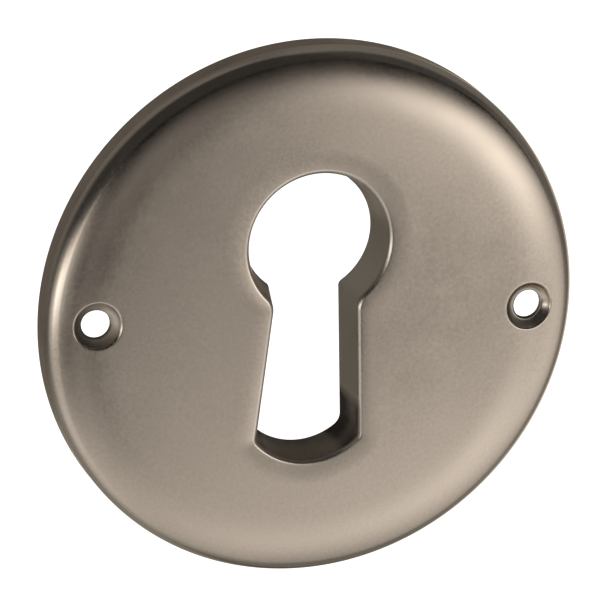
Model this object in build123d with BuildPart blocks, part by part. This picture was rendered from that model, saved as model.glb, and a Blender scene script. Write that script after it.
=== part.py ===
from build123d import *
import os
from math import sqrt

# Keyhole escutcheon: a round cover plate pressed from one sheet of metal. The face is slightly domed, the
# rim is turned back to the door, and the keyhole's edge is rolled over and drawn back into a collar.
#
# Frame: upright, as it is fixed. +Z is up, the front faces -Y, and the origin is the middle of the circle
# on which the rim meets the door. Sizes are in millimetres, and heights are measured from that seat.

# Plate
plate_diameter = 50.0
plate_height = 4.75
dome_rise = 0.75
edge_radius = 1.9
sheet = 1.0
rim_chamfer = 0.2

# Keyhole at its throat, the narrow end at the seat
head_diameter = 12.0
head_height = 6.9
neck_width = 6.5
foot_width = 8.5
foot_radius = 6.0
keyhole_length = 26.2
throat_neck_rounding = 0.4
throat_foot_rounding = 1.0

# Keyhole at its mouth, the wide end at the face
mouth_flare = 0.8
mouth_neck_rounding = 1.8
mouth_foot_rounding = 0.4
mouth_roll = 0.85

# Collar behind the face
collar_setback = 0.2
inner_bend = 0.2

# Screw holes, one each side of the keyhole
screw_hole_diameter = 2.6
countersink_diameter = 4.3
countersink_lip = 0.15
hole_edge_distance = 4.5

# Worked out from the sizes above
plate_radius = plate_diameter / 2
inner_radius = plate_radius - sheet
dome_radius = (plate_radius**2 + dome_rise**2) / (2 * dome_rise)
dome_centre = plate_height - dome_radius
bend_middle = plate_radius - edge_radius
bend_start = bend_middle * dome_radius / (dome_radius - edge_radius)
hole_spacing = plate_diameter - 2 * hole_edge_distance
countersink = (countersink_diameter - screw_hole_diameter) / 2
collar_top = plate_height - sheet / 2

# Planes: the seat seen from the front, and half a section from the plate's axis out to its right-hand edge
seat = Plane.XZ
section = Plane(origin=(0, 0, 0), x_dir=(1, 0, 0), z_dir=(0, 0, -1))


def dome_at(distance, depth=0.0):
    """Height above the seat, at a distance from the plate's axis, of a point at a depth below the dome."""
    return dome_centre + sqrt((dome_radius - depth) ** 2 - distance**2)


def keyhole_at(height, wall=0.0):
    """The keyhole's outline at a height above the seat, with a wall's thickness added all round."""
    share = height / plate_height
    grow = mouth_flare * share + wall
    neck_rounding = throat_neck_rounding + (mouth_neck_rounding - throat_neck_rounding) * share
    foot_rounding = throat_foot_rounding + (mouth_foot_rounding - throat_foot_rounding) * share

    head = head_diameter / 2 + grow
    foot = foot_radius + grow
    half_neck = neck_width / 2 + grow
    half_foot = foot_width / 2 + grow
    head_top = head_height + head
    foot_bottom = head_height + head_diameter / 2 - keyhole_length - grow
    neck_level = head_height - sqrt(head**2 - half_neck**2)
    corner_level = foot_bottom + foot - sqrt(foot**2 - half_foot**2)

    with BuildSketch(seat.offset(height)) as outline:
        with BuildLine():
            ThreePointArc((half_neck, neck_level), (0, head_top), (-half_neck, neck_level))
            Line((-half_neck, neck_level), (-half_foot, corner_level))
            ThreePointArc((-half_foot, corner_level), (0, foot_bottom), (half_foot, corner_level))
            Line((half_foot, corner_level), (half_neck, neck_level))
        make_face()
        fillet(outline.vertices().group_by(Axis.Y)[-1], max(neck_rounding - wall, inner_bend))
        fillet(outline.vertices().group_by(Axis.Y)[0], foot_rounding + wall)
    return outline.sketch


with BuildPart() as plate:
    # Rim: the bend from the dome to the wall, and the wall down to the seat, turned about the plate's axis.
    # The hidden inside of the bend is one straight facet.
    bend_level = dome_at(bend_middle, edge_radius)
    with BuildSketch(section):
        with BuildLine():
            bend = RadiusArc((bend_start, dome_at(bend_start)), (plate_radius, bend_level), edge_radius)
            Polyline(
                bend @ 1,
                (plate_radius, rim_chamfer),
                (plate_radius - rim_chamfer, 0),
                (inner_radius, 0),
                (inner_radius, bend_level),
                (bend_start, dome_at(bend_start, sheet)),
                bend @ 0,
            )
        make_face()
    revolve(axis=Axis.Y)

    # Dome: a disc cut out of one thickness of a large sphere
    with BuildPart():
        with BuildSketch(seat):
            Circle(bend_start)
        extrude(amount=plate_height)
        with Locations((0, -dome_centre, 0)):
            Sphere(dome_radius, mode=Mode.INTERSECT)
            Sphere(dome_radius - sheet, mode=Mode.SUBTRACT)

    # Countersunk screw holes with softened lips
    with Locations(seat):
        with GridLocations(hole_spacing, 0, 2, 1):
            Hole(screw_hole_diameter / 2)
    face = plate.faces().sort_by(Axis.Y)[0]
    chamfer(face.inner_wires().edges(), countersink)
    face = plate.faces().sort_by(Axis.Y)[0]
    fillet(face.inner_wires().edges(), countersink_lip)

    # Collar round the keyhole, then the keyhole itself
    loft([keyhole_at(collar_setback, sheet), keyhole_at(collar_top, sheet)], ruled=True)
    loft([keyhole_at(0), keyhole_at(plate_height + sheet)], ruled=True, mode=Mode.SUBTRACT)

    # Mouth of the keyhole, rolled over into the collar
    face = plate.faces().sort_by(Axis.Y)[0]
    mouth = face.inner_wires().sort_by(SortBy.LENGTH)[-1]
    fillet(mouth.edges(), mouth_roll)

plate.part.label = "escutcheon_plate"
os.makedirs("parts", exist_ok=True)
export_step(plate.part, "parts/escutcheon_plate.step")
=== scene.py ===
"""Keyhole escutcheon in satin nickel: the plate's finished surface, its studio and its camera."""

import logging
import math
from dataclasses import dataclass, replace
from enum import Enum

import bmesh
import bpy
from mathutils import Matrix, Vector


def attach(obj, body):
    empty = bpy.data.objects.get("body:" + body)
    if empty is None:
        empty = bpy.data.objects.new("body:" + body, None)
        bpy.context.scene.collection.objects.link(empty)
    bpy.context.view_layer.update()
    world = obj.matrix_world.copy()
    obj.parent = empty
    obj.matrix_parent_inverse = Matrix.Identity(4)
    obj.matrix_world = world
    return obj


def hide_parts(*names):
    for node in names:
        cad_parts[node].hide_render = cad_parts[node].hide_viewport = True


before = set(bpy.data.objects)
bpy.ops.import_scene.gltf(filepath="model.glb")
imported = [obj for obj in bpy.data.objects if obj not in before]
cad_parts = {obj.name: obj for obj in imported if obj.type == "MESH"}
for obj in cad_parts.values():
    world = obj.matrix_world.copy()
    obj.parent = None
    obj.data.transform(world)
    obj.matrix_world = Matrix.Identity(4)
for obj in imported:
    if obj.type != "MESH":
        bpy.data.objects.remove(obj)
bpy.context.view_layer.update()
LOG = logging.getLogger("escutcheon")

Loop = list[Vector]
Shell = bmesh.types.BMesh
RING_KINDS = (bmesh.types.BMVert, bmesh.types.BMEdge)
Colour = tuple[float, float, float]

# Place and directions in a section, or seen from the front
ORIGIN = Vector((0, 0))
OUT = Vector((1, 0))
UP = Vector((0, 1))

# Steps round small edges, the keyhole's roll, its dip's soft start, a countersink's lip, the rim's edge at
# the seat, the collar's root, the rim's bend and its inside
EDGE_STEPS = 3
ROLL_STEPS = 10
LEAD_STEPS = 6
LIP_STEPS = 6
SEAT_STEPS = 5
ROOT_STEPS = 5
BEND_STEPS = 16
INNER_BEND_STEPS = 8

# Rings on the keyhole's wall, the rim's wall and its inside, the collar and a countersink's dish, as shares
WALL_SHARES = (0.06, 0.35, 0.65, 0.94)
RIM_SHARES = (0.94, 0.6, 0.3)
INSIDE_SHARES = (0.4, 0.92)
COLLAR_SHARES = (0.1, 0.5, 0.9)
DISH_SHARES = (0.08, 0.25, 0.42, 0.58, 0.75, 0.92)

# Rounds that find where the keyhole's wall meets the face, and the face square above a point
LIP_ROUNDS = 4
DEPTH_ROUNDS = 6
# Distance within which the last ring joins the first
WELD = 1e-8


class Side(Enum):
    """Which side of the keyhole a screw hole is on, seen from the front."""

    LEFT = -1.0
    RIGHT = 1.0


class Trace(Enum):
    """What use leaves on the plating, with painted light and painted shade, as attributes of the mesh."""

    WEAR = "wear"
    RECESS = "recess"


def rounded_corner(corner: Vector, first: Vector, second: Vector, radius: float, steps: int) -> Loop:
    """Rounds a corner of a section.

    Args:
        corner: The sharp corner, as distance across and height.
        first: Direction from the corner along the line where the arc starts.
        second: Direction from the corner along the line where the arc ends.
        radius: Radius of the arc.
        steps: Number of equal steps along the arc.

    Returns:
        The arc's points, from the first line to the second.
    """
    first = first.normalized()
    second = second.normalized()
    half = first.angle(second) / 2
    reach = radius / math.tan(half)
    centre = corner + (first + second).normalized() * (radius / math.sin(half))
    start = corner + first * reach - centre
    end = corner + second * reach - centre
    sweep = math.pi - 2 * half
    shares = [step / steps for step in range(steps + 1)]
    return [
        centre + (start * math.sin((1 - share) * sweep) + end * math.sin(share * sweep)) / math.sin(sweep)
        for share in shares
    ]


def extrude_ring(shell: Shell, edges: list) -> list[list]:
    """Extrudes a ring of edges once and gives the new verts and edges."""
    made = bmesh.ops.extrude_edge_only(shell, edges=edges)["geom"]
    return [[part for part in made if isinstance(part, kind)] for kind in RING_KINDS]


def add_object(name: str, shape: Shell, material: bpy.types.Material) -> bpy.types.Object:
    """Turns a finished shape into an object of the scene.

    Args:
        name: Name of the object and of its mesh.
        shape: The shape, which is used up.
        material: Its material.

    Returns:
        The object.
    """
    mesh = bpy.data.meshes.new(name)
    shape.to_mesh(mesh)
    shape.free()
    mesh.materials.append(material)
    made = bpy.data.objects.new(name, mesh)
    bpy.context.scene.collection.objects.link(made)
    return made


@dataclass(frozen=True)
class Marks:
    """What use has left at a place, with the light and shade painted there.

    Attributes:
        wear: How far hands and keys have rubbed it bright, with painted light on the keyhole's wall and
            roll, from 0 to 1.
        recess: How much painted shade darkens it and how much duller it is, from 0 to 1.
        painted_shade: Extra painted shade, which also makes it duller, in the keyhole and the screw holes.
    """

    wear: float = 0.0
    recess: float = 0.0
    painted_shade: float = 0.0


def mark(shell: Shell, vert: bmesh.types.BMVert, marks: Marks, shaded: float) -> None:
    """Marks a vert with its rubbing and painted light, and its painted shade and dullness, which takes in a
    share of the extra painted shade.
    """
    for trace, amount in ((Trace.WEAR, marks.wear), (Trace.RECESS, marks.recess + marks.painted_shade * shaded)):
        vert[shell.verts.layers.float[trace.value]] = amount


@dataclass(frozen=True)
class Ring:
    """One ring of points round the keyhole, with what use has left there and the light and shade painted on
    it.
    """

    points: Loop
    marks: Marks = Marks()


@dataclass(frozen=True)
class OutlinePoint:
    """One point of a keyhole outline, seen from the front.

    Attributes:
        spot: Place to the right and up.
        outward: Unit direction from the opening into the metal.
    """

    spot: Vector
    outward: Vector

    def mirrored(self) -> "OutlinePoint":
        """Gives the same point on the keyhole's left side."""
        flip = Vector((-1, 1))
        return OutlinePoint(self.spot * flip, self.outward * flip)

    def towards(self, other: "OutlinePoint", share: float) -> "OutlinePoint":
        """Gives the point a share of the way to another one."""
        spot = self.spot.lerp(other.spot, share)
        return OutlinePoint(spot, self.outward.lerp(other.outward, share).normalized())


def angle_of(direction: Vector) -> float:
    """Gives a direction's angle from the right, turning up."""
    return math.atan2(direction.y, direction.x)


def arc(centre: Vector, radius: float, start: float, end: float, count: int) -> list[OutlinePoint]:
    """Steps along an arc of an outline.

    Args:
        centre: The arc's middle.
        radius: Its radius, negative where the metal is on its inner side.
        start: Angle at which it starts.
        end: Angle at which it ends.
        count: Number of steps.

    Returns:
        The point at the start of each step.
    """
    made = []
    for step in range(count):
        turn = start + (end - start) * step / count
        ray = Vector((math.cos(turn), math.sin(turn)))
        made.append(OutlinePoint(centre + ray * abs(radius), ray * math.copysign(1, radius)))
    return made


@dataclass(frozen=True)
class Keyhole:
    """The keyhole's outline, which widens from its throat at the seat to its mouth at the face.

    Attributes:
        head_radius: Radius of the round head at the throat.
        head_height: Height of the head's middle above the plate's middle.
        half_neck: Half the slot's width under the head.
        half_foot: Half the slot's width at its foot.
        foot_radius: Radius of the curved foot.
        length: Whole length of the keyhole at the throat.
        flare: How much wider the mouth is on every side.
        throat_neck: Rounding of the neck's corners at the throat.
        mouth_neck: Rounding of the neck's corners at the mouth.
        throat_foot: Rounding of the foot's corners at the throat.
        mouth_foot: Rounding of the foot's corners at the mouth.
        smallest_rounding: Rounding that every inside corner keeps.
        mouth_shift: How far to the right of the throat the mouth lies.
        counts: Steps along foot, foot corner, slot side, neck corner and head, going up.
    """

    head_radius: float = 0.0060
    head_height: float = 0.0069
    half_neck: float = 0.00325
    half_foot: float = 0.00425
    foot_radius: float = 0.0060
    length: float = 0.0261
    flare: float = 0.0007
    throat_neck: float = 0.0005
    mouth_neck: float = 0.0023
    throat_foot: float = 0.0014
    mouth_foot: float = 0.0004
    smallest_rounding: float = 0.0002
    mouth_shift: float = -0.00015
    counts: tuple[int, int, int, int, int] = (24, 10, 96, 18, 72)

    def outline(self, share: float, wall: float = 0.0) -> list[OutlinePoint]:
        """Works out the outline at one level.

        Args:
            share: Level, from 0 at the seat to 1 at the plate's height.
            wall: Thickness of metal added all round.

        Returns:
            The outline's points, from its lowest point round by the right.
        """
        grow = self.flare * share + wall
        neck_rounding = self.throat_neck + (self.mouth_neck - self.throat_neck) * share - wall
        neck_rounding = max(neck_rounding, self.smallest_rounding)
        foot_rounding = self.throat_foot + (self.mouth_foot - self.throat_foot) * share + wall
        head_radius = self.head_radius + grow
        foot_radius = self.foot_radius + grow
        half_neck = self.half_neck + grow
        half_foot = self.half_foot + grow
        head = Vector((0, self.head_height))
        lowest = self.head_height + self.head_radius - self.length - grow
        foot = Vector((0, lowest + foot_radius))

        # Sharp corners at the neck and at the foot, with the slot's side between them
        top = head + Vector((half_neck, -math.sqrt(head_radius**2 - half_neck**2)))
        bottom = foot + Vector((half_foot, -math.sqrt(foot_radius**2 - half_foot**2)))
        down = (bottom - top).normalized()
        out = Vector((-down.y, down.x))

        # Middles of the two roundings, which touch the slot's side and the head or the foot
        gap = top + out * neck_rounding - head
        along = gap.dot(down)
        away = math.sqrt(along**2 - gap.length_squared + (head_radius + neck_rounding) ** 2) - along
        neck = top + out * neck_rounding + down * away
        gap = bottom - out * foot_rounding - foot
        along = gap.dot(down)
        away = along - math.sqrt(along**2 - gap.length_squared + (foot_radius - foot_rounding) ** 2)
        corner = bottom - out * foot_rounding - down * away

        # The right half, from the lowest point up
        to_corner = angle_of(corner - foot)
        from_slot = angle_of(-out) % math.tau
        to_head = angle_of(head - neck) % math.tau
        slot_start = corner + out * foot_rounding
        slot_end = neck - out * neck_rounding
        foot_steps, corner_steps, slot_steps, neck_steps, head_steps = self.counts
        right = arc(foot, foot_radius, -math.pi / 2, to_corner, foot_steps)
        right += arc(corner, foot_rounding, to_corner, angle_of(out), corner_steps)
        for step in range(slot_steps):
            right.append(OutlinePoint(slot_start.lerp(slot_end, step / slot_steps), out.copy()))
        right += arc(neck, -neck_rounding, from_slot, to_head, neck_steps)
        right += arc(head, head_radius, angle_of(neck - head), math.pi / 2, head_steps)

        summit = OutlinePoint(head + UP * head_radius, UP)
        points = right + [summit] + [point.mirrored() for point in reversed(right[1:])]
        shift = Vector((self.mouth_shift * share, 0))
        return [OutlinePoint(point.spot + shift, point.outward) for point in points]


@dataclass(frozen=True)
class ScrewHole:
    """A countersunk screw hole.

    Attributes:
        side: Which side of the keyhole it is on.
        offset: Its distance from the plate's axis.
        radius: Radius of the hole.
        sink_radius: Radius of the countersink at the face.
        sink_depth: Depth of the countersink.
        dish_width: Share of its width at which the countersink's dish is lowest.
        dish_depth: Share of its depth that the dish tends to there.
        lip: Rounding of the countersink's edge.
        seat_edge: Rounding between the countersink and the hole.
        face_margin: Width cleared round the countersink in the face.
        back_margin: Width cleared round the hole in the underside.
        search: How far beyond that a cleared edge can lie.
        flatness: Least squareness to the axis of a cleared face, up to 1.
        back_rings: Rings on the underside, as distances from the hole and amounts of painted shade and
            dullness.
        painted_shade: Most painted shade in the countersink's dish.
        shade_middle: Share of it between its lightest and darkest sides.
        shade_side: Direction of its darkest side.
    """

    side: Side
    offset: float = 0.0205
    radius: float = 0.00133
    sink_radius: float = 0.0022
    sink_depth: float = 0.0006
    dish_width: float = 0.45
    dish_depth: float = 0.92
    lip: float = 0.00025
    seat_edge: float = 0.00008
    face_margin: float = 0.0003
    back_margin: float = 0.0007
    search: float = 0.0008
    flatness: float = 0.9
    back_rings: tuple[tuple[float, float], ...] = ((0.0, 1.0), (0.0001, 0.4), (0.0003, 0.4))
    painted_shade: float = 0.05
    shade_middle: float = 0.55
    shade_side: tuple[float, float] = (-0.8, -0.6)

    @property
    def middle(self) -> Vector:
        """Place of the hole's axis, to the right and up."""
        return Vector((self.side.value * self.offset, 0))

    def from_axis(self, point: Vector) -> Vector:
        """Gives a point's place about the hole's axis, to the right and up."""
        return Vector((point.x, point.z)) - self.middle

    def shade_share(self, ray: Vector) -> float:
        """Gives the share of the painted shade that lies in a direction from the hole's axis."""
        return self.shade_middle + (1 - self.shade_middle) * ray.dot(Vector(self.shade_side))


@dataclass(frozen=True)
class ShadedSpot:
    """A place in the keyhole darkened with painted shade.

    Attributes:
        right: Its middle, right of the plate's middle.
        up: Its middle, above the plate's middle.
        reach: Its radius.
        blend: Distance over which the painted shade sets in.
        strength: How dark its painted shade is beside the keyhole's foot.
    """

    right: float
    up: float
    reach: float
    blend: float
    strength: float = 1.0

    def share(self, point: Vector) -> float:
        """Gives how much painted shade a point takes, with less than zero outside."""
        inside = self.reach - math.hypot(point.x - self.right, point.z - self.up)
        return min(inside / self.blend, 1.0) * self.strength


@dataclass(frozen=True)
class PlateUse:
    """What use has left on each part of the plate, with the light and shade painted there."""

    collar_end: Marks = Marks(0.3, 0.25, 0.7)
    # Painted light: the wall takes the lighter rubbed colour to stand in for light on it; its extra
    # darkening is painted shade.
    wall: Marks = Marks(0.8, 0.10)
    wall_shade: tuple[float, ...] = (0.75, 0.5, 0.35, 0.4)
    # Painted highlight: the roll's lighter rubbed colour partly stands in for glints; its darkening is
    # painted shade.
    roll: Marks = Marks(0.7, 0.10, 0.5)
    bend_wear: float = 0.45
    # Painted shade darkens the rim, the plate's back and the screw holes' seats, which are also made duller.
    rim: Marks = Marks(recess=0.15)
    rim_end: Marks = Marks(0.2, 0.2)
    rim_inside: Marks = Marks(recess=0.4)
    bend_inside: Marks = Marks(recess=0.5)
    underside: Marks = Marks(recess=0.35)
    collar: Marks = Marks(recess=0.4)
    sink_lip: Marks = Marks(0.6)
    sink_dish: Marks = Marks(0.3)
    sink_seat: Marks = Marks(painted_shade=1.3)


@dataclass
class Plate:
    """The pressed plate: domed face, soft shoulder, rim turned back, rolled keyhole and countersunk holes.

    Attributes:
        radius: Radius of the plate.
        height: Height of the dome's middle above the seat.
        dome_rise: How far the dome would fall to the plate's radius.
        shoulder_start: Distance out at which the dome starts to fall away.
        shoulder_angle: Slope at the end of the shoulder, in degrees.
        edge_radius: Radius of the bend from shoulder to rim.
        sheet: Thickness of the metal.
        seat_edge: Rounding of the rim's outer edge at the seat.
        mouth_roll: Radius of the keyhole's rolled edge.
        lead_middle: Distance from the mouth at which the face dips into it.
        lead_reach: How far that dip's soft start reaches either way.
        lead_angle: Slope of the dip, in degrees.
        lead_run: Distances of two rings past that soft start.
        collar_setback: Height of the collar's end above the seat.
        collar_edge: Rounding of the collar's edges.
        collar_root: Rounding between the collar and the underside.
        sharp_angle: Angle from which an edge looks sharp, in degrees.
        foot_top: Height at which the painted shade in the keyhole's foot starts.
        foot_blend: Distance over which that painted shade sets in.
        shaded_spots: Painted shade at its left neck, its head and its foot's corners.
        face_steps: Rings on the face.
        under_steps: Rings on the underside.
        keyhole: The keyhole.
        holes: The screw holes.
        use: What use has left on it, with painted light and shade.
        body: CAD body that it rides on.
        node: CAD node that it stands for.
        slot: The record's material slot; not used.
    """

    radius: float = 0.025
    height: float = 0.004749
    dome_rise: float = 0.00075
    shoulder_start: float = 0.01875
    shoulder_angle: float = 16.0
    edge_radius: float = 0.00145
    sheet: float = 0.001
    seat_edge: float = 0.0003
    mouth_roll: float = 0.00045
    lead_middle: float = 0.0013
    lead_reach: float = 0.00085
    lead_angle: float = 6.0
    lead_run: tuple[float, float] = (0.00005, 0.00015)
    collar_setback: float = 0.0002
    collar_edge: float = 0.0001
    collar_root: float = 0.0004
    sharp_angle: float = 32.0
    foot_top: float = -0.0083
    foot_blend: float = 0.0010
    # Painted shade on the keyhole's wall at its left neck, its head and its foot's corners.
    shaded_spots: tuple[ShadedSpot, ...] = (
        ShadedSpot(-0.0048, 0.0024, 0.0030, 0.0010),
        ShadedSpot(0.0031, 0.0124, 0.0050, 0.0040),
        ShadedSpot(0.0046, -0.0110, 0.0033, 0.0014, 2.1),
        ShadedSpot(-0.0046, -0.0112, 0.0026, 0.0014, 1.8),
    )
    face_steps: int = 46
    under_steps: int = 26
    keyhole: Keyhole = Keyhole()
    holes: tuple[ScrewHole, ...] = (ScrewHole(Side.LEFT, painted_shade=0.9), ScrewHole(Side.RIGHT))
    use: PlateUse = PlateUse()
    body: str = "root"
    node: str = "escutcheon_plate"
    slot: str = "satin_nickel"

    def __post_init__(self) -> None:
        """Works out the dome, the shoulder that falls away from it and the bend that ends it."""
        self.lead_end: float = self.lead_middle + self.lead_reach
        self.dome_radius: float = (self.radius**2 + self.dome_rise**2) / (2 * self.dome_rise)
        self.dome_centre: float = self.height - self.dome_radius
        self.bend_tilt: float = math.radians(self.shoulder_angle)
        self.bend_middle: float = self.radius - self.edge_radius
        end = self.bend_middle + self.edge_radius * math.sin(self.bend_tilt)
        extra_slope = math.tan(self.bend_tilt) - end / math.sqrt(self.dome_radius**2 - end**2)
        self.shoulder_curl: float = extra_slope / (3 * (end - self.shoulder_start) ** 2)
        self.bend_level: float = self.below_face(end, self.edge_radius)[1]

    def below_face(self, spot: float, depth: float) -> tuple[float, float]:
        """Goes down from the face, square to it.

        Args:
            spot: Distance from the plate's axis at the face.
            depth: Depth below the face.

        Returns:
            Distance from the axis and height above the seat at that depth.
        """
        past = max(spot - self.shoulder_start, 0.0)
        rise = math.sqrt(self.dome_radius**2 - spot**2)
        tilt = math.atan(spot / rise + 3 * self.shoulder_curl * past**2)
        level = self.dome_centre + rise - self.shoulder_curl * past**3
        return spot - depth * math.sin(tilt), level - depth * math.cos(tilt)

    def face_at(self, distance: float, depth: float = 0.0) -> float:
        """Gives the height above the seat of the face, or of a surface at a depth below it.

        Args:
            distance: Distance from the plate's axis.
            depth: Depth below the face, square to it.

        Returns:
            The height.
        """
        spot = distance
        for _ in range(DEPTH_ROUNDS if depth else 1):
            reached, level = self.below_face(spot, depth)
            spot += distance - reached
        return level

    def slope_at(self, spot: Vector, heading: Vector, depth: float = 0.0) -> float:
        """Gives how steeply the dome rises at a place in a heading."""
        return -spot.dot(heading) / math.sqrt((self.dome_radius - depth) ** 2 - spot.length_squared)

    def place(self, spot: Vector, level: float) -> Vector:
        """Turns a place seen from the front and a height above the seat into a point of the frame."""
        return Vector((spot.x, -level, spot.y))

    def keyhole_column(self, throat: OutlinePoint, mouth: OutlinePoint, guide: OutlinePoint) -> Loop:
        """Follows the keyhole's wall from the collar's end over the rolled mouth to the face.

        Args:
            throat: The outline's point at the seat.
            mouth: The outline's point one thickness above the plate's height.
            guide: The outline's point at the end of the face's dip.

        Returns:
            The points, in the order of `keyhole_marks`.
        """
        rise = self.height + self.sheet
        end = throat.towards(mouth, self.collar_setback / rise)
        lean = (mouth.spot - throat.spot).dot(end.outward) / rise
        edge = rounded_corner(ORIGIN, OUT, Vector((lean, 1)), self.collar_edge, EDGE_STEPS)
        column = [self.place(end.spot + end.outward * p.x, self.collar_setback + p.y) for p in edge]

        level = self.height
        for _ in range(LIP_ROUNDS):
            lip = throat.towards(mouth, level / rise)
            level = self.face_at(lip.spot.length)
        lean = (mouth.spot - throat.spot).dot(lip.outward) / rise
        heading = (guide.spot - lip.spot) / self.lead_end
        slope = self.slope_at(lip.spot, lip.outward)
        dip = math.tan(math.radians(self.lead_angle))
        fall = self.lead_middle * dip / (1 - lean * (slope + dip))
        corner = Vector((-lean * fall, -fall))
        knee = Vector((1, slope)) * self.lead_middle
        bend = self.lead_reach / math.tan(math.radians(self.lead_angle) / 2)
        roll = rounded_corner(corner, Vector((-lean, -1)), knee - corner, self.mouth_roll, ROLL_STEPS)
        roll += rounded_corner(knee, corner - knee, Vector((1, slope)), bend, LEAD_STEPS)

        start = self.place(lip.spot + heading * roll[0].x, level + roll[0].y)
        foot = column[-1]
        column += [foot.lerp(start, share) for share in WALL_SHARES]
        for p in roll:
            spot = lip.spot + heading * p.x
            column.append(self.place(spot, self.face_at(spot.length) + p.y - slope * p.x))
        for step in self.lead_run:
            spot = lip.spot + heading * (roll[-1].x + step)
            column.append(self.place(spot, self.face_at(spot.length)))
        return column

    def keyhole_marks(self) -> list[Marks]:
        """Lists what use has left, with painted light and shade, from the collar's end over the rolled mouth
        to the face.

        Returns:
            The marks for each point of a keyhole column.
        """
        marks = [self.use.collar_end] * (EDGE_STEPS + 1)
        # The wall and the roll carry painted light and painted shade.
        marks += [replace(self.use.wall, painted_shade=painted_shade) for painted_shade in self.use.wall_shade]
        roll = self.use.roll
        for step in range(ROLL_STEPS + 1):
            left = 1 - step / ROLL_STEPS
            marks.append(Marks(roll.wear, roll.recess * left, roll.painted_shade * left**2))
        return marks + [Marks()] * (LEAD_STEPS + 1 + len(self.lead_run))

    def shade_share(self, point: Vector) -> float:
        """Gives how much painted shade a point takes: 0 where there is none, 1 in the keyhole's foot, more
        in its corners.
        """
        foot = min((self.foot_top - point.z) / self.foot_blend, 1.0)
        return max(0.0, foot, *(spot.share(point) for spot in self.shaded_spots))

    def rim_section(self) -> list[tuple[float, float, Marks]]:
        """Follows the rim from the shoulder's end round to the underside.

        Returns:
            Distance from the axis, height and marks at each step.
        """
        section = []
        for step in range(BEND_STEPS + 1):
            share = step / BEND_STEPS
            turn = self.bend_tilt + (math.pi / 2 - self.bend_tilt) * share
            across = self.bend_middle + self.edge_radius * math.sin(turn)
            level = self.bend_level + self.edge_radius * math.cos(turn)
            section.append((across, level, Marks(self.use.bend_wear * math.sin(math.pi * share))))
        section += [(self.radius, self.bend_level * share, self.use.rim) for share in RIM_SHARES]

        inner = self.radius - self.sheet
        ends = rounded_corner(Vector((self.radius, 0)), UP, -OUT, self.seat_edge, SEAT_STEPS)
        ends += rounded_corner(Vector((inner, 0)), OUT, UP, self.collar_edge, EDGE_STEPS)
        section += [(p.x, p.y, self.use.rim_end) for p in ends]
        for share in INSIDE_SHARES:
            section.append((inner, self.bend_level * share, self.use.rim_inside))
        bend = self.edge_radius - self.sheet
        for step in range(INNER_BEND_STEPS + 1):
            turn = math.pi / 2 + (self.bend_tilt - math.pi / 2) * step / INNER_BEND_STEPS
            across = self.bend_middle + bend * math.sin(turn)
            section.append((across, self.bend_level + bend * math.cos(turn), self.use.bend_inside))
        return section

    def collar_columns(self) -> list[tuple[Vector, Loop]]:
        """Follows the collar's outside from the underside to the collar's end.

        Returns:
            For each step round the keyhole, the place where the underside ends and the points below it.
        """
        low = self.keyhole.outline(self.collar_setback / self.height, self.sheet)
        top = self.height - self.sheet / 2
        high = self.keyhole.outline(top / self.height, self.sheet)
        rise = top - self.collar_setback
        columns = []
        for throat, mouth in zip(low, high):
            level = self.height - self.sheet
            for _ in range(LIP_ROUNDS):
                root = throat.towards(mouth, (level - self.collar_setback) / rise)
                level = self.face_at(root.spot.length, self.sheet)
            lean = (mouth.spot - throat.spot).dot(root.outward) / rise
            fall = Vector((1, self.slope_at(root.spot, root.outward, self.sheet)))
            bend = rounded_corner(ORIGIN, fall, Vector((-lean, -1)), self.collar_root, ROOT_STEPS)
            edge = rounded_corner(ORIGIN, Vector((lean, 1)), -OUT, self.collar_edge, EDGE_STEPS)
            points = [self.place(root.spot + root.outward * p.x, level + p.y) for p in bend]
            ends = [self.place(throat.spot + throat.outward * p.x, self.collar_setback + p.y) for p in edge]
            points += [points[-1].lerp(ends[0], share) for share in COLLAR_SHARES]
            columns.append((root.spot + root.outward * bend[0].x, points + ends))
        return columns

    def rings(self) -> list[Ring]:
        """Works out every ring, from the collar's end over the face and the rim and back underneath.

        Returns:
            The rings.
        """
        low = self.keyhole.outline(0.0)
        high = self.keyhole.outline((self.height + self.sheet) / self.height)
        guides = self.keyhole.outline(1.0, self.lead_end)
        columns = [self.keyhole_column(*points) for points in zip(low, high, guides)]
        rings = [Ring(list(loop), marks) for loop, marks in zip(zip(*columns), self.keyhole_marks())]
        inner = [Vector((point.x, point.z)) for point in rings[-1].points]
        section = self.rim_section()
        edge = section[0][0]
        for step in range(1, self.face_steps):
            share = step / self.face_steps
            spots = [spot.normalized() * (spot.length + (edge - spot.length) * share) for spot in inner]
            rings.append(Ring([self.place(spot, self.face_at(spot.length)) for spot in spots]))
        for across, level, marks in section:
            rings.append(Ring([self.place(spot.normalized() * across, level) for spot in inner], marks))

        columns = self.collar_columns()
        last = section[-1][0]
        for step in range(1, self.under_steps):
            share = step / self.under_steps
            spots = [(spot.normalized() * last).lerp(root, share) for spot, (root, _) in zip(inner, columns)]
            loop = [self.place(spot, self.face_at(spot.length, self.sheet)) for spot in spots]
            rings.append(Ring(loop, self.use.underside))
        rings += [Ring(list(loop), self.use.collar) for loop in zip(*[points for _, points in columns])]
        return rings

    def build_shell(self) -> Shell:
        """Extrudes a ring of edges along the rings of points and closes it on itself.

        Returns:
            The plate's closed surface, still without screw holes.
        """
        rings = self.rings()
        shell = bmesh.new()
        post = shell.verts.layers.int.new("post")
        for trace in Trace:
            shell.verts.layers.float.new(trace.value)
        verts = bmesh.ops.create_circle(shell, segments=len(rings[0].points), radius=1.0)["verts"]
        edges = list(shell.edges)
        for number, vert in enumerate(verts):
            vert[post] = number
        for number, ring in enumerate(rings + rings[:1]):
            if number > 0:
                verts, edges = extrude_ring(shell, edges)
            for vert in verts:
                vert.co = ring.points[vert[post]]
                # Painted shade from the keyhole's foot and its shaded spots.
                mark(shell, vert, ring.marks, self.shade_share(vert.co))
        bmesh.ops.remove_doubles(shell, verts=shell.verts, dist=WELD)
        bmesh.ops.recalc_face_normals(shell, faces=shell.faces)
        return shell

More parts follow.
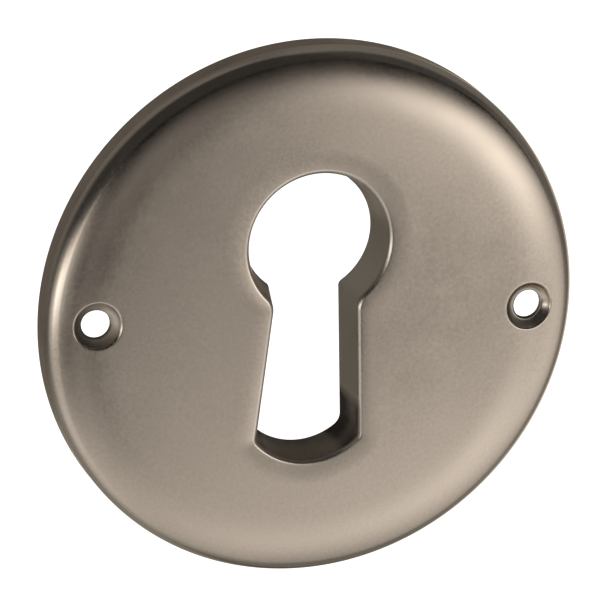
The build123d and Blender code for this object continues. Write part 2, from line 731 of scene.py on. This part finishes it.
    def open_disc(self, shell: Shell, hole: ScrewHole, reach: float, front: bool) -> list:
        """Clears a disc of faces round a screw hole and draws the edge left there into a circle.

        Args:
            shell: The plate's surface.
            hole: The screw hole.
            reach: Radius of the circle.
            front: Whether it is on the face or on the underside.

        Returns:
            The circle's edges.
        """
        cleared = [
            part
            for part in shell.faces
            if abs(part.normal.y) > hole.flatness
            and (part.normal.y < 0) == front
            and hole.from_axis(part.calc_center_median()).length < reach
        ]
        bmesh.ops.delete(shell, geom=cleared, context="FACES")
        edges = [
            part
            for part in shell.edges
            if part.is_boundary
            and all(hole.from_axis(vert.co).length < reach + hole.search for vert in part.verts)
            and all((beside.normal.y < 0) == front for beside in part.link_faces)
        ]
        depth = 0.0 if front else self.sheet
        for vert in {vert for part in edges for vert in part.verts}:
            spot = hole.middle + hole.from_axis(vert.co).normalized() * reach
            vert.co = self.place(spot, self.face_at(spot.length, depth))
        return edges

    def hole_ring(
        self, shell: Shell, edges: list, hole: ScrewHole, reach: float, drop: float | None, marks: Marks
    ) -> list:
        """Extrudes one more ring of a screw hole.

        Args:
            shell: The plate's surface.
            edges: The ring so far.
            hole: The screw hole.
            reach: Radius of the new ring.
            drop: Its height from the countersink's edge, or nothing on the underside.
            marks: What use has left there, with the painted shade of its darkest side.

        Returns:
            The new ring's edges.
        """
        verts, edges = extrude_ring(shell, edges)
        for vert in verts:
            ray = hole.from_axis(vert.co).normalized()
            spot = hole.middle + ray * reach
            if drop is None:
                level = self.face_at(spot.length, self.sheet)
            else:
                edge = hole.middle + ray * max(reach, hole.sink_radius)
                level = self.face_at(edge.length) + drop
            vert.co = self.place(spot, level)
            mark(shell, vert, marks, hole.shade_share(ray))
        return edges

    def bore(self, shell: Shell, hole: ScrewHole) -> None:
        """Cuts one countersunk screw hole through the plate.

        Args:
            shell: The plate's surface.
            hole: The screw hole.
        """
        back = self.open_disc(shell, hole, hole.radius + hole.back_margin, False)
        edges = self.open_disc(shell, hole, hole.sink_radius + hole.face_margin, True)
        land = Vector((hole.radius - hole.sink_radius, -hole.sink_depth))
        low = Vector((land.x * hole.dish_width, land.y * hole.dish_depth))
        lip = rounded_corner(ORIGIN, OUT, low, hole.lip, LIP_STEPS)
        seat = rounded_corner(land, low - land, -UP, hole.seat_edge, EDGE_STEPS)
        # Painted shade in the countersink's dish, darkest on one side, and round its seat.
        dish_marks = replace(self.use.sink_dish, painted_shade=hole.painted_shade)
        sink = [(step, self.use.sink_lip) for step in lip]
        for share in DISH_SHARES:
            step = lip[-1].lerp(low, share).lerp(low.lerp(seat[0], share), share)
            sink.append((step, dish_marks))
        sink += [(step, self.use.sink_seat) for step in seat]
        for step, marks in sink:
            edges = self.hole_ring(shell, edges, hole, hole.sink_radius + step.x, step.y, marks)
        for across, recess in hole.back_rings:
            edges = self.hole_ring(shell, edges, hole, hole.radius + across, None, Marks(recess=recess))
        bmesh.ops.bridge_loops(shell, edges=edges + back)

    def build(self, finish: "SatinNickel") -> bpy.types.Object:
        """Makes the plate's piece and dresses it.

        Args:
            finish: The metal's finish.

        Returns:
            The finished piece.
        """
        shell = self.build_shell()
        for hole in self.holes:
            self.bore(shell, hole)
        bmesh.ops.recalc_face_normals(shell, faces=shell.faces)
        for part in shell.faces:
            part.smooth = True
        for part in shell.edges:
            part.smooth = part.calc_face_angle(0.0) < math.radians(self.sharp_angle)
        piece = add_object("pressed_plate", shell, finish.build())
        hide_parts(self.node)
        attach(piece, self.body)
        return piece


# Middle of a noise, and numbers of a colour mix's sockets
NOISE_MIDDLE = 0.5
MIX_SHARE = 0
MIX_FIRST = 6
MIX_SECOND = 7
MIX_RESULT = 2


@dataclass(frozen=True)
class Noise:
    """A noise in a material: grains in a metre, finer layers and their strength."""

    scale: float
    detail: float
    rough: float


class NodeSheet:
    """A node tree that is written one node at a time."""

    def __init__(self, tree: bpy.types.NodeTree) -> None:
        """Takes the tree to write on."""
        self.tree = tree

    def add(
        self, kind: str, inputs: dict[str | int, object] | None = None, **settings: object
    ) -> bpy.types.Node:
        """Adds a node.

        Args:
            kind: Blender's name for the kind of node.
            inputs: Values or sockets for its inputs, by name or number.
            **settings: The node's own settings.

        Returns:
            The node.
        """
        node = self.tree.nodes.new(kind)
        for name, value in settings.items():
            setattr(node, name, value)
        for name, value in (inputs or {}).items():
            if isinstance(value, bpy.types.NodeSocket):
                self.tree.links.new(value, node.inputs[name])
            else:
                node.inputs[name].default_value = value
        return node

    def math(self, operation: str, *values: object) -> bpy.types.NodeSocket:
        """Adds a calculation with numbers or sockets and gives its result."""
        return self.add("ShaderNodeMath", dict(enumerate(values)), operation=operation).outputs[0]

    def blend(self, share: object, first: object, second: object, mode: str = "MIX") -> bpy.types.NodeSocket:
        """Adds a mix with a share of a second colour and gives the mixed colour."""
        values = {MIX_SHARE: share, MIX_FIRST: first, MIX_SECOND: second}
        return self.add("ShaderNodeMix", values, data_type="RGBA", blend_type=mode).outputs[MIX_RESULT]

    def noise(self, place: bpy.types.NodeSocket, noise: Noise) -> bpy.types.NodeSocket:
        """Adds a noise and gives its height."""
        values = {"Vector": place, "Scale": noise.scale, "Detail": noise.detail, "Roughness": noise.rough}
        return self.add("ShaderNodeTexNoise", values, noise_dimensions="3D").outputs["Fac"]


@dataclass(frozen=True)
class PlatingEffect:
    """Node group for plated metal: cloudy tone, fine grain, polished edges and dull recesses.

    Attributes:
        name: Name of the group.
        clouds: Patches of tone.
        grain: Grain of the plating.
        finest: Its finest pits.
        grain_tone: Tone of the grain beside that of the patches.
        finest_height: Height of the pits beside that of the grain.
        patch_contrast: How far the patches break up rubbing, painted light and painted shade.
        patch_level: Share of them that a middling patch keeps.
        cloud_roughness: Roughness from the patches.
        grain_roughness: Roughness from the grain.
        polish: Roughness that rubbing takes away.
        dulling: Roughness that painted shade and dullness add.
        roughest: Most roughness.
    """

    name: str = "plating_effect"
    clouds: Noise = Noise(210.0, 3.0, 0.55)
    grain: Noise = Noise(3400.0, 2.0, 0.6)
    finest: Noise = Noise(9000.0, 1.0, 0.5)
    grain_tone: float = 2.2
    finest_height: float = 0.4
    patch_contrast: float = 1.6
    patch_level: float = 0.85
    cloud_roughness: float = 0.10
    grain_roughness: float = 0.08
    polish: float = 0.05
    dulling: float = 2.4
    roughest: float = 0.8

    def build(self) -> bpy.types.NodeTree:
        """Makes the group.

        Returns:
            The group, with sockets for a finish's colours and roughness.
        """
        group = bpy.data.node_groups.new(self.name, "ShaderNodeTree")
        for way, kind, names in (
            ("INPUT", "NodeSocketColor", ("Metal", "Polished_And_Lit", "Dull_And_Shaded")),
            ("INPUT", "NodeSocketFloat", ("Wear", "Recess", "Roughness", "Unevenness")),
            ("OUTPUT", "NodeSocketColor", ("Colour",)),
            ("OUTPUT", "NodeSocketFloat", ("Roughness", "Height")),
        ):
            for name in names:
                group.interface.new_socket(name, in_out=way, socket_type=kind)

        sheet = NodeSheet(group)
        given = sheet.add("NodeGroupInput").outputs
        place = sheet.add("ShaderNodeTexCoord").outputs["Object"]
        clouds = sheet.math("SUBTRACT", sheet.noise(place, self.clouds), NOISE_MIDDLE)
        grain = sheet.math("SUBTRACT", sheet.noise(place, self.grain), NOISE_MIDDLE)
        finest = sheet.noise(place, self.finest)

        patchy = sheet.math("MULTIPLY_ADD", clouds, self.patch_contrast, self.patch_level)
        worn_and_lit = sheet.math("MULTIPLY", given["Wear"], patchy)
        dull_and_shaded = sheet.math("MULTIPLY", given["Recess"], patchy)
        # Painted light in the lighter rubbed colour, painted shade in the dark colour.
        colour = sheet.blend(worn_and_lit, given["Metal"], given["Polished_And_Lit"])
        colour = sheet.blend(dull_and_shaded, colour, given["Dull_And_Shaded"])
        tone = sheet.math("MULTIPLY_ADD", clouds, given["Unevenness"], 1.0)
        speckle = sheet.math("MULTIPLY", grain, self.grain_tone)
        tone = sheet.math("MULTIPLY_ADD", speckle, given["Unevenness"], tone)
        grey = sheet.add("ShaderNodeCombineColor", {0: tone, 1: tone, 2: tone}).outputs[0]
        colour = sheet.blend(1.0, colour, grey, "MULTIPLY")

        rough = sheet.math("MULTIPLY_ADD", clouds, self.cloud_roughness, given["Roughness"])
        rough = sheet.math("MULTIPLY_ADD", grain, self.grain_roughness, rough)
        rough = sheet.math("MULTIPLY_ADD", worn_and_lit, -self.polish, rough)
        rough = sheet.math("MULTIPLY_ADD", dull_and_shaded, self.dulling, rough)
        rough = sheet.math("MINIMUM", rough, self.roughest)
        height = sheet.math("MULTIPLY_ADD", finest, self.finest_height, grain)
        sheet.add("NodeGroupOutput", {"Colour": colour, "Roughness": rough, "Height": height})
        return group


@dataclass(frozen=True)
class SatinNickel:
    """Satin nickel plating on pressed brass.

    Attributes:
        name: Name of the material.
        metal: Colour of the plating.
        polished_and_lit: Colour where it is rubbed bright, and painted light on the keyhole's wall and roll.
        dull_and_shaded: Dark colour of painted shade in sheltered places.
        edge_tint: Tint of its reflections at a low angle.
        roughness: How soft its reflections are.
        unevenness: How much its tone varies.
        grain_depth: Depth of the fine grain.
        effect: The plating's node group.
    """

    name: str = "satin_nickel"
    metal: Colour = (0.575, 0.485, 0.395)
    # Painted light and painted shade: the lighter rubbed colour and the dark colour that the marks mix in.
    polished_and_lit: Colour = (0.68, 0.60, 0.50)
    dull_and_shaded: Colour = (0.12, 0.10, 0.085)
    edge_tint: Colour = (1.0, 0.90, 0.76)
    roughness: float = 0.22
    unevenness: float = 0.10
    grain_depth: float = 0.0000007
    effect: PlatingEffect = PlatingEffect()

    def build(self) -> bpy.types.Material:
        """Builds the material's nodes.

        Returns:
            The material.
        """
        material = bpy.data.materials.new(self.name)
        material.use_nodes = True
        sheet = NodeSheet(material.node_tree)
        given = {"Roughness": self.roughness, "Unevenness": self.unevenness}
        for name, colour in (("Metal", self.metal), ("Polished_And_Lit", self.polished_and_lit), ("Dull_And_Shaded", self.dull_and_shaded)):
            given[name] = (*colour, 1.0)
        for trace in Trace:
            amount = sheet.add("ShaderNodeAttribute", attribute_name=trace.value)
            given[trace.name.title()] = amount.outputs["Fac"]
        plating = sheet.add("ShaderNodeGroup", given, node_tree=self.effect.build()).outputs
        relief = {"Height": plating["Height"], "Distance": self.grain_depth, "Strength": 1.0}
        bump = sheet.add("ShaderNodeBump", relief).outputs
        shader = material.node_tree.nodes["Principled BSDF"].inputs
        shader["Metallic"].default_value = 1.0
        shader["Specular Tint"].default_value = (*self.edge_tint, 1.0)
        sheet.tree.links.new(plating["Colour"], shader["Base Color"])
        sheet.tree.links.new(plating["Roughness"], shader["Roughness"])
        sheet.tree.links.new(bump["Normal"], shader["Normal"])
        return material


@dataclass(frozen=True)
class PhotoCamera:
    """The camera at the photograph's viewing angle.

    Attributes:
        azimuth: Angle round the plate from straight in front, in degrees.
        elevation: Angle above the horizon, in degrees.
        roll: Turn about the line of sight, in degrees.
        distance: Distance from the plate.
        lens: Focal length in millimetres.
        sensor: Width of its sensor in millimetres.
        clip: Nearest and farthest distance that it sees.
        aim: What the picture's middle shows, to the right and up in the picture.
    """

    azimuth: float = -19.03
    elevation: float = 18.45
    roll: float = 3.5
    distance: float = 0.6
    lens: float = 394.3
    sensor: float = 36.0
    clip: tuple[float, float] = (0.01, 20.0)
    aim: tuple[float, float] = (-0.000007, 0.000122)

    def build(self) -> bpy.types.Object:
        """Makes the camera and hands it to the scene.

        Returns:
            The camera.
        """
        turn = math.radians(self.azimuth)
        lift = math.radians(self.elevation)
        back = Vector((math.sin(turn) * math.cos(lift), -math.cos(turn) * math.cos(lift), math.sin(lift)))
        level = Vector((0, 0, 1)).cross(back).normalized()
        upward = back.cross(level)
        lean = math.radians(self.roll)
        right = level * math.cos(lean) + upward * math.sin(lean)
        up = upward * math.cos(lean) - level * math.sin(lean)
        lens = bpy.data.cameras.new("photo_camera")
        lens.lens = self.lens
        lens.sensor_width = self.sensor
        lens.clip_start, lens.clip_end = self.clip
        camera = bpy.data.objects.new("photo_camera", lens)
        bpy.context.scene.collection.objects.link(camera)
        turned = Matrix((right, up, back)).transposed()
        spot = back * self.distance + right * self.aim[0] + up * self.aim[1]
        camera.matrix_world = Matrix.Translation(spot) @ turned.to_4x4()
        bpy.context.scene.camera = camera
        return camera


@dataclass(frozen=True)
class Panel:
    """One soft light on the tent, or a patch of shade where its level is below zero.

    Attributes:
        azimuth: Its middle, round to the right from straight in front, in degrees.
        elevation: Its middle above the horizon, in degrees.
        half_width: Half its width, in degrees.
        half_height: Half its height, in degrees.
        softness: Half the width of its soft border, in degrees.
        level: Its brightness.
    """

    azimuth: float
    elevation: float
    half_width: float
    half_height: float
    softness: float
    level: float

    def glow(self, azimuth: float, elevation: float) -> float:
        """Works out its brightness in a direction.

        Args:
            azimuth: The direction round the plate, in degrees.
            elevation: The direction above the horizon, in degrees.

        Returns:
            The brightness there.
        """
        across = abs((azimuth - self.azimuth + 180) % 360 - 180)
        along = abs(elevation - self.elevation)
        return self.level * self.fade(self.half_width - across) * self.fade(self.half_height - along)

    def fade(self, inside: float) -> float:
        """Gives the border's share of brightness at a distance inside the edge."""
        share = min(max((inside / self.softness + 1) / 2, 0.0), 1.0)
        return share * share * (3 - 2 * share)


@dataclass(frozen=True)
class LightTent:
    """A tent of soft light panels round the plate, which its satin metal reflects.

    Attributes:
        radius: Radius of the tent.
        gloom: Brightness of the bare tent.
        segments: Divisions round it and from top to bottom.
        panels: The light panels.
    """

    radius: float = 0.5
    gloom: float = 0.044
    segments: tuple[int, int] = (180, 90)
    panels: tuple[Panel, ...] = (
        Panel(-40.8, -8.4, 25.1, 5.0, 11.0, 2.54),
        Panel(33.7, -5.1, 10.2, 5.0, 11.0, 4.18),
        Panel(37.5, -28.6, 18.6, 5.0, 12.0, 0.63),
        Panel(-33.1, -42.4, 44.4, 20.1, 35.4, 0.70),
        Panel(109.6, 29.8, 66.4, 71.5, 18.5, 0.16),
        Panel(-144.8, 49.5, 30.3, 53.1, 23.0, 0.17),
        Panel(-32.2, -60.5, 171.7, 27.3, 11.2, 0.17),
        Panel(-70.6, -10.4, 20.7, 8.9, 17.0, 0.67),
        Panel(9.1, 0.8, 18.6, 9.8, 11.0, 0.98),
        Panel(15.9, -6.3, 34.2, 18.6, 11.2, -0.80),
        Panel(54.8, -22.2, 22.9, 5.1, 11.2, 0.39),
        Panel(64.2, 42.9, 18.8, 25.5, 11.0, -0.13),
        Panel(14.6, -17.4, 5.0, 6.0, 11.0, 1.69),
        Panel(47.9, -15.7, 5.0, 6.7, 11.0, 1.52),
        Panel(29.3, -36.7, 21.5, 11.2, 11.0, 0.49),
        Panel(-128.5, -59.2, 64.7, 57.1, 15.3, 0.09),
        Panel(-2.6, -17.1, 5.0, 9.7, 11.4, 0.96),
        Panel(31.8, -21.5, 5.0, 5.0, 11.0, 1.59),
        Panel(88.4, -1.1, 19.1, 13.2, 11.2, -0.05),
        Panel(145.0, -20.0, 35.0, 22.0, 10.0, 0.60),
    )

    def build(self) -> bpy.types.Object:
        """Makes the tent and lights its panels.

        Returns:
            The tent.
        """
        ball = bmesh.new()
        glow = ball.verts.layers.float.new("glow")
        around, down = self.segments
        bmesh.ops.create_uvsphere(ball, u_segments=around, v_segments=down, radius=self.radius)
        for vert in ball.verts:
            azimuth = math.degrees(math.atan2(vert.co.x, -vert.co.y))
            elevation = math.degrees(math.asin(max(-1.0, min(1.0, vert.co.z / self.radius))))
            light = self.gloom + sum(panel.glow(azimuth, elevation) for panel in self.panels)
            vert[glow] = max(light, 0.0)
        for part in ball.faces:
            part.smooth = True

        material = bpy.data.materials.new("tent_cloth")
        material.use_nodes = True
        material.node_tree.nodes.clear()
        sheet = NodeSheet(material.node_tree)
        level = sheet.add("ShaderNodeAttribute", attribute_name="glow").outputs["Fac"]
        cloth = sheet.add("ShaderNodeEmission", {"Strength": level})
        sheet.add("ShaderNodeOutputMaterial", {"Surface": cloth.outputs[0]})
        material.cycles.emission_sampling = "NONE"
        tent = add_object("light_tent", ball, material)
        tent.visible_camera = False
        return tent


@dataclass(frozen=True)
class Floor:
    """The plain pale floor, well below the plate.

    Attributes:
        level: Its height from the plate's middle.
        size: Its width.
        colour: Its colour.
        whiteness: Light that only the camera sees on it.
    """

    level: float = -0.52
    size: float = 4.0
    colour: Colour = (0.86, 0.86, 0.86)
    whiteness: float = 0.75

    def build(self) -> bpy.types.Object:
        """Makes the floor.

        Returns:
            The floor.
        """
        grid = bmesh.new()
        lift = Matrix.Translation((0, 0, self.level))
        bmesh.ops.create_grid(grid, x_segments=2, y_segments=2, size=self.size / 2, matrix=lift)

        material = bpy.data.materials.new("pale_floor")
        material.use_nodes = True
        material.node_tree.nodes.clear()
        sheet = NodeSheet(material.node_tree)
        paint = sheet.add("ShaderNodeBsdfDiffuse", {"Color": (*self.colour, 1.0)})
        seen = sheet.add("ShaderNodeLightPath").outputs["Is Camera Ray"]
        shine = sheet.math("MULTIPLY", seen, self.whiteness)
        glow = sheet.add("ShaderNodeEmission", {"Strength": shine})
        both = sheet.add("ShaderNodeAddShader", {0: paint.outputs[0], 1: glow.outputs[0]})
        sheet.add("ShaderNodeOutputMaterial", {"Surface": both.outputs[0]})
        floor = add_object("floor", grid, material)
        return floor


@dataclass(frozen=True)
class Studio:
    """A white room with a pale floor and a light tent.

    Attributes:
        room_light: Brightness of the room's light.
        floor: The floor.
        tent: The tent.
    """

    room_light: float = 0.6
    floor: Floor = Floor()
    tent: LightTent = LightTent()

    def build(self) -> list[bpy.types.Object]:
        """Sets up the view transform, the room, the floor and the tent.

        Returns:
            The floor and the tent.
        """
        scene = bpy.context.scene
        scene.view_settings.view_transform = "Standard"
        room = bpy.data.worlds.new("white_room")
        scene.world = room
        room.use_nodes = True
        sheet = NodeSheet(room.node_tree)
        path = sheet.add("ShaderNodeLightPath").outputs
        shown = sheet.math("MAXIMUM", path["Is Camera Ray"], path["Is Glossy Ray"])
        shown = sheet.math("MAXIMUM", shown, path["Is Transmission Ray"])
        strength = sheet.math("MAXIMUM", shown, self.room_light)
        background = room.node_tree.nodes["Background"].inputs
        background["Color"].default_value = (1, 1, 1, 1)
        sheet.tree.links.new(strength, background["Strength"])
        return [self.floor.build(), self.tent.build()]


def main() -> None:
    """Builds the plate, the studio and the camera."""
    logging.basicConfig(level=logging.INFO, format="%(name)s: %(message)s")
    plate = Plate()
    piece = plate.build(SatinNickel())
    LOG.info("%s: %d faces, rides on %s", piece.name, len(piece.data.polygons), plate.body)
    for staging in Studio().build():
        LOG.info("%s: %d faces, staging", staging.name, len(staging.data.polygons))
    camera = PhotoCamera().build()
    LOG.info("%s: lens of %.1f mm", camera.name, camera.data.lens)


if __name__ == "__main__":
    main()
